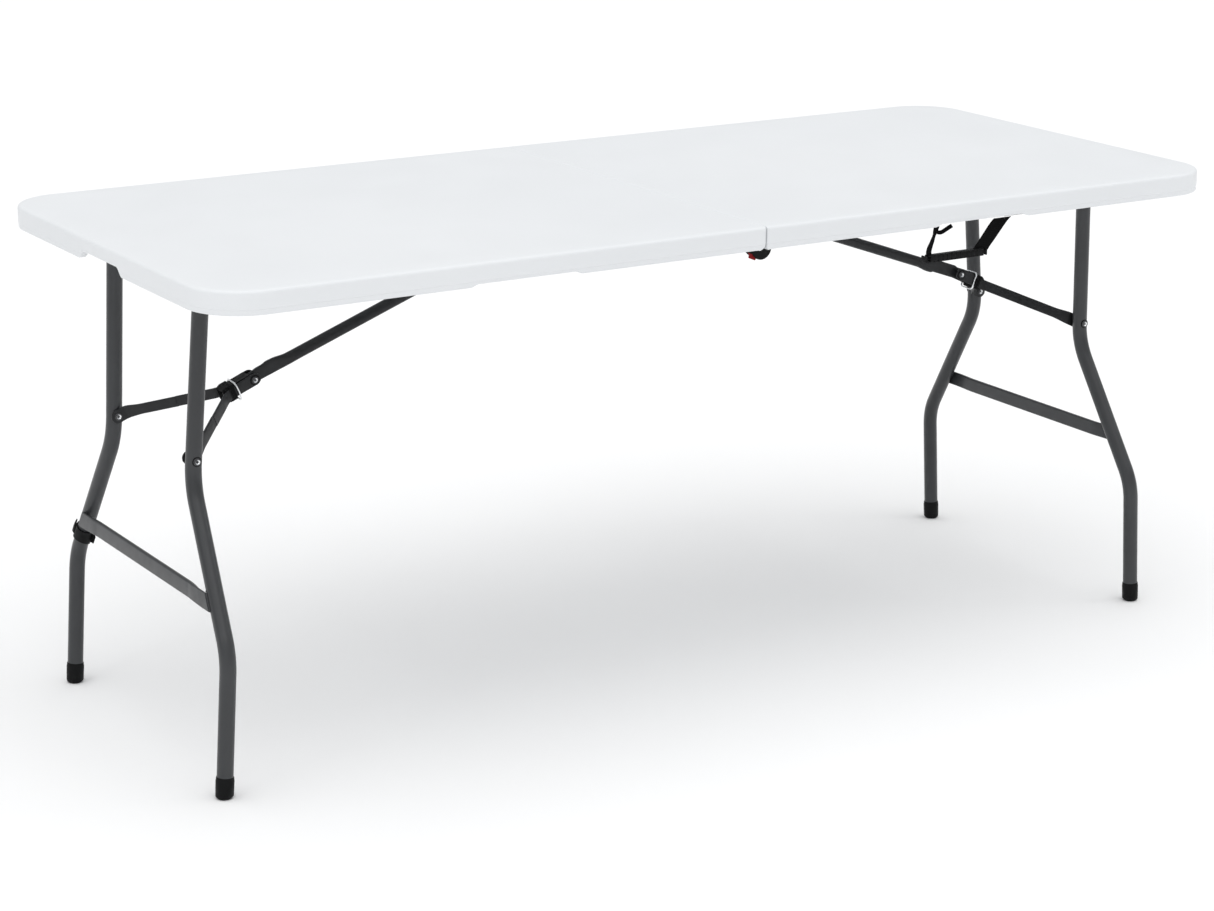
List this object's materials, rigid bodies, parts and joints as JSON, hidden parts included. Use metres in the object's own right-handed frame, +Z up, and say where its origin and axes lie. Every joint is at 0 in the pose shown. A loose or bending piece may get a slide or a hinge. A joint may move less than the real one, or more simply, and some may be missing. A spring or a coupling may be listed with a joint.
{
  "type": "folding picnic table",
  "caption": "White fold-in-half table with a moulded skirted top, splayed dark steel wishbone legs, toggle braces with lock rings and a carrying handle",
  "frame": {"origin": "on the floor under the middle of the table, below the hinge line", "axes": "X along the table towards the half with the handle, Y across it with the handle side at -Y, Z up"},
  "size_m": [1.8, 0.764, 0.765],
  "materials": {
    "hdpe_white": "white blow-moulded polyethylene, satin, faintly grained",
    "grey_steel": "dark grey powder coat, satin",
    "dark_steel": "darker grey powder coat, satin",
    "black_plastic": "black moulded plastic",
    "zinc": "bright zinc plate",
    "red_plastic": "red moulded plastic",
    "webbing": "black woven webbing"
  },
  "bodies": {
    "left_half": {"left_top": "hdpe_white", "left_rail_front": "grey_steel", "left_rail_back": "grey_steel", "left_axle_bush_front": "black_plastic", "left_axle_bush_back": "black_plastic", "left_brace_bracket": "grey_steel", "left_brace_pin": "zinc", "hinge_pin_front": "zinc", "hinge_pin_back": "zinc", "hinge_cover_front": "black_plastic", "hinge_cover_back": "black_plastic"},
    "left_legs": {"left_leg_axle": "grey_steel", "left_leg_front": "grey_steel", "left_leg_back": "grey_steel", "left_leg_rivet_front": "zinc", "left_leg_rivet_back": "zinc", "left_foot_cap_front": "black_plastic", "left_foot_cap_back": "black_plastic", "left_crossbar": "grey_steel", "transport_clip": "black_plastic"},
    "left_brace_bar": {"left_brace": "dark_steel"},
    "left_yoke": {"left_yoke_arm_front": "dark_steel", "left_yoke_arm_back": "dark_steel", "left_arm_rivet_front": "zinc", "left_arm_rivet_back": "zinc", "left_clevis": "black_plastic", "left_knuckle_rivet": "zinc"},
    "left_ring": {"left_lock_ring": "zinc"},
    "right_half": {"right_top": "hdpe_white", "right_rail_front": "grey_steel", "right_rail_back": "grey_steel", "right_axle_bush_front": "black_plastic", "right_axle_bush_back": "black_plastic", "right_brace_bracket": "grey_steel", "right_brace_pin": "zinc", "handle_anchor_left": "black_plastic", "handle_anchor_right": "black_plastic"},
    "right_legs": {"right_leg_axle": "grey_steel", "right_leg_front": "grey_steel", "right_leg_back": "grey_steel", "right_leg_rivet_front": "zinc", "right_leg_rivet_back": "zinc", "right_foot_cap_front": "black_plastic", "right_foot_cap_back": "black_plastic", "right_crossbar": "grey_steel"},
    "right_brace_bar": {"right_brace": "dark_steel"},
    "right_yoke": {"right_yoke_arm_front": "dark_steel", "right_yoke_arm_back": "dark_steel", "right_arm_rivet_front": "zinc", "right_arm_rivet_back": "zinc", "right_clevis": "black_plastic", "right_knuckle_rivet": "zinc"},
    "right_ring": {"right_lock_ring": "zinc"},
    "handle": {"handle_grip": "black_plastic", "handle_strap_left": "webbing", "handle_strap_right": "webbing"},
    "latch": {"latch_lever": "red_plastic"}
  },
  "joints": [
    {"name": "half_fold", "type": "hinge", "parent": "left_half", "child": "right_half", "pos_m": [0, 0, 0.729], "axis": [0, 1, 0], "range_deg": [0, 90]},
    {"name": "left_leg_fold", "type": "hinge", "parent": "left_half", "child": "left_legs", "pos_m": [-0.8097, 0, 0.7465], "axis": [0, -1, 0], "range_deg": [0, 93.4]},
    {"name": "left_brace_turn", "type": "hinge", "parent": "left_half", "child": "left_brace_bar", "pos_m": [-0.083, 0, 0.7505], "axis": [0, 1, 0], "range_deg": [0, 19.98]},
    {"name": "left_knuckle_turn", "type": "hinge", "parent": "left_brace_bar", "child": "left_yoke", "pos_m": [-0.6656, 0, 0.53433], "axis": [0, -1, 0], "range_deg": [0, 177.89]},
    {"name": "left_ring_slide", "type": "slide", "parent": "left_brace_bar", "child": "left_ring", "axis": [0.9375, 0, 0.3479], "range_m": [0, 0.225]},
    {"name": "right_leg_fold", "type": "hinge", "parent": "right_half", "child": "right_legs", "pos_m": [0.8097, 0, 0.7465], "axis": [0, 1, 0], "range_deg": [0, 93.4]},
    {"name": "right_brace_turn", "type": "hinge", "parent": "right_half", "child": "right_brace_bar", "pos_m": [0.083, 0, 0.7505], "axis": [0, -1, 0], "range_deg": [0, 19.15]},
    {"name": "right_knuckle_turn", "type": "hinge", "parent": "right_brace_bar", "child": "right_yoke", "pos_m": [0.66898, 0, 0.54268], "axis": [0, 1, 0], "range_deg": [0, 174.11]},
    {"name": "right_ring_slide", "type": "slide", "parent": "right_brace_bar", "child": "right_ring", "axis": [-0.9425, 0, 0.3343], "range_m": [0, 0.225]},
    {"name": "handle_swing", "type": "hinge", "parent": "right_half", "child": "handle", "pos_m": [0.4, -0.3655, 0.727], "axis": [-1, 0, 0], "range_deg": [0, 88]},
    {"name": "latch_press", "type": "hinge", "parent": "left_half", "child": "latch", "pos_m": [-0.029, -0.3658, 0.739], "axis": [0, 1, 0], "range_deg": [0, 10], "stiffness_Nm_per_rad": 0.2}
  ],
  "couplings": [
    {"joint": "left_brace_turn", "follows": "left_leg_fold", "ratio": 0.21177},
    {"joint": "left_knuckle_turn", "follows": "left_leg_fold", "ratio": 1.9024},
    {"joint": "left_ring_slide", "follows": "left_leg_fold", "m_per_rad": 0.137},
    {"joint": "right_brace_turn", "follows": "right_leg_fold", "ratio": 0.20289},
    {"joint": "right_knuckle_turn", "follows": "right_leg_fold", "ratio": 1.862},
    {"joint": "right_ring_slide", "follows": "right_leg_fold", "m_per_rad": 0.137}
  ]
}
